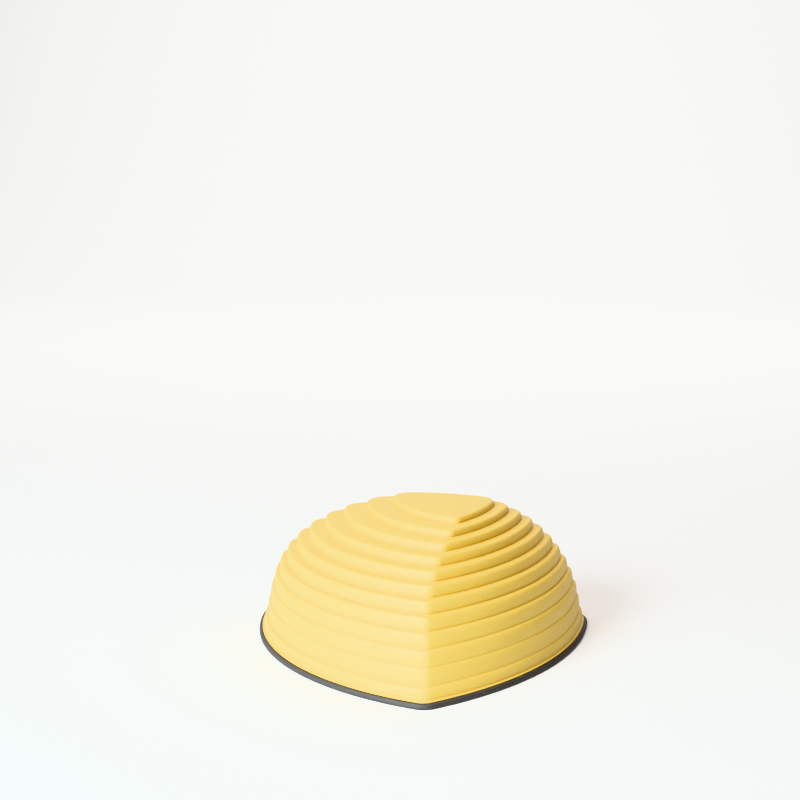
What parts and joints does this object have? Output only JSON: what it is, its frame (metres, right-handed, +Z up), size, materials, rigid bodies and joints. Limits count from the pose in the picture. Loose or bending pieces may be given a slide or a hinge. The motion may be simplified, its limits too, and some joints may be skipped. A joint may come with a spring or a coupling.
{
  "type": "balance stepping stone",
  "caption": "Hollow stepped hill for children's balance play, a rounded triangle in plan with narrow terraces up to a small flat top and a rubber edge that grips the floor.",
  "frame": {"origin": "middle of the footprint's bounding box, on the floor", "axes": "+Z up; -Y towards the sharp ridge between the two front sides; +X to the right of someone who faces that ridge"},
  "size_m": [0.4164, 0.4192, 0.17],
  "materials": {
    "moulded_plastic": "satin, even colour all through, lightly textured for grip",
    "grey_rubber": "matt"
  },
  "bodies": {
    "root": {"moulded_shell": "moulded_plastic", "rubber_edge": "grey_rubber"}
  },
  "joints": []
}
